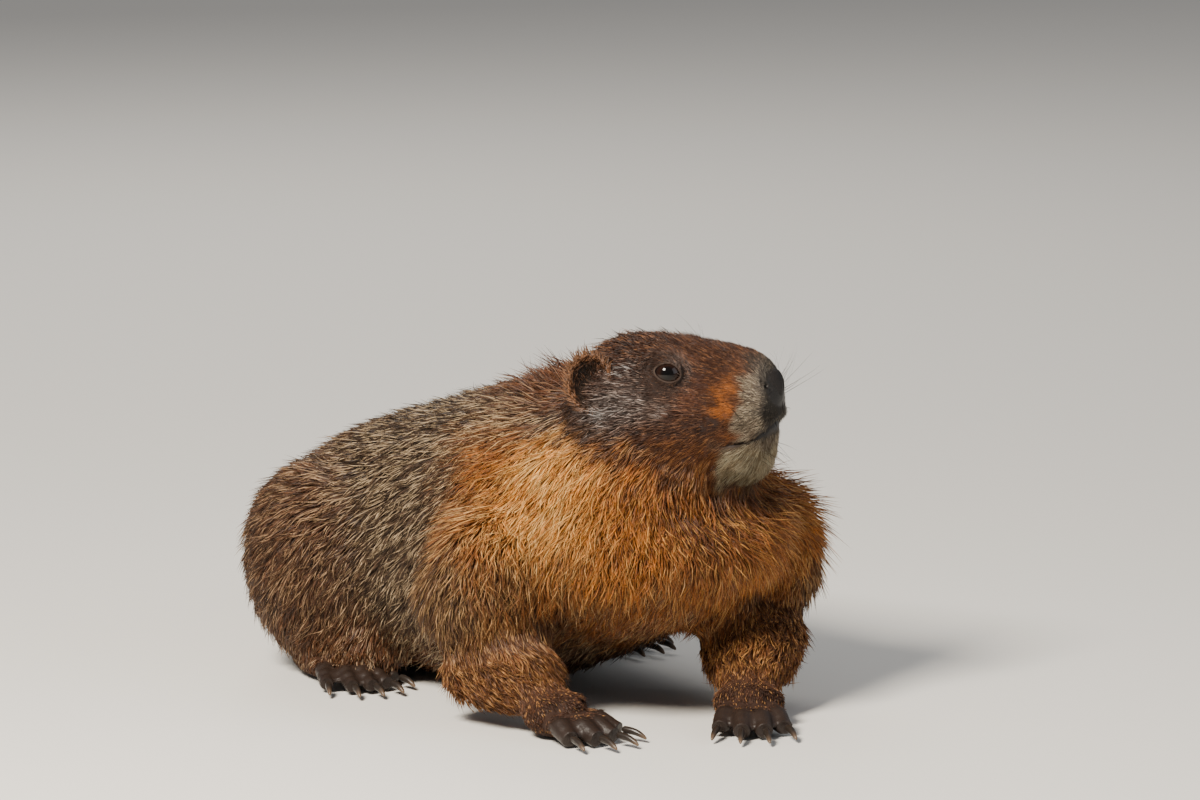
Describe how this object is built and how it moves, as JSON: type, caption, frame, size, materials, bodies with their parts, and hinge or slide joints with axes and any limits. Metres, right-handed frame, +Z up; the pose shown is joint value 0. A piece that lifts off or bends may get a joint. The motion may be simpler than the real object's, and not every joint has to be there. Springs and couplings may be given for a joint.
{
  "type": "yellow-bellied marmot",
  "caption": "Life-size still model of a yellow-bellied marmot lying on its belly, chest raised on its forelegs, head turned to its left.",
  "frame": {"origin": "on the floor, under the middle of the animal's box", "axes": "+Z up; the body lies along Y and faces -Y; +X is the animal's left side"},
  "size_m": [0.2216, 0.3942, 0.1735],
  "materials": {
    "coat_back": "grizzled grey-brown fur with pale tips",
    "coat_neck": "golden yellow to rusty orange fur",
    "coat_head": "short dark brown fur flecked with grey",
    "coat_muzzle": "short pale buff fur",
    "coat_leg": "short rusty brown fur",
    "coat_rump": "reddish brown fur with pale tips",
    "nose_skin": "moist black skin, finely grained",
    "eye": "very dark brown, wet gloss",
    "claw": "dark horn, satin, paler at the tip"
  },
  "bodies": {
    "root": {"trunk": "coat_back", "neck": "coat_neck", "head": "coat_head", "lower_jaw": "coat_muzzle", "nose": "nose_skin", "eye_left": "eye", "ear_left": "coat_head", "eye_right": "eye", "ear_right": "coat_head", "tail": "coat_rump", "upper_arm_left": "coat_leg", "forearm_left": "coat_leg", "forefoot_left": "coat_leg", "claw_fore_left_1": "claw", "claw_fore_left_2": "claw", "claw_fore_left_3": "claw", "claw_fore_left_4": "claw", "upper_arm_right": "coat_leg", "forearm_right": "coat_leg", "forefoot_right": "coat_leg", "claw_fore_right_1": "claw", "claw_fore_right_2": "claw", "claw_fore_right_3": "claw", "claw_fore_right_4": "claw", "thigh_left": "coat_rump", "shank_left": "coat_rump", "hindfoot_left": "coat_leg", "claw_hind_left_1": "claw", "claw_hind_left_2": "claw", "claw_hind_left_3": "claw", "claw_hind_left_4": "claw", "claw_hind_left_5": "claw", "thigh_right": "coat_rump", "shank_right": "coat_rump", "hindfoot_right": "coat_leg", "claw_hind_right_1": "claw", "claw_hind_right_2": "claw", "claw_hind_right_3": "claw", "claw_hind_right_4": "claw", "claw_hind_right_5": "claw"}
  },
  "joints": []
}
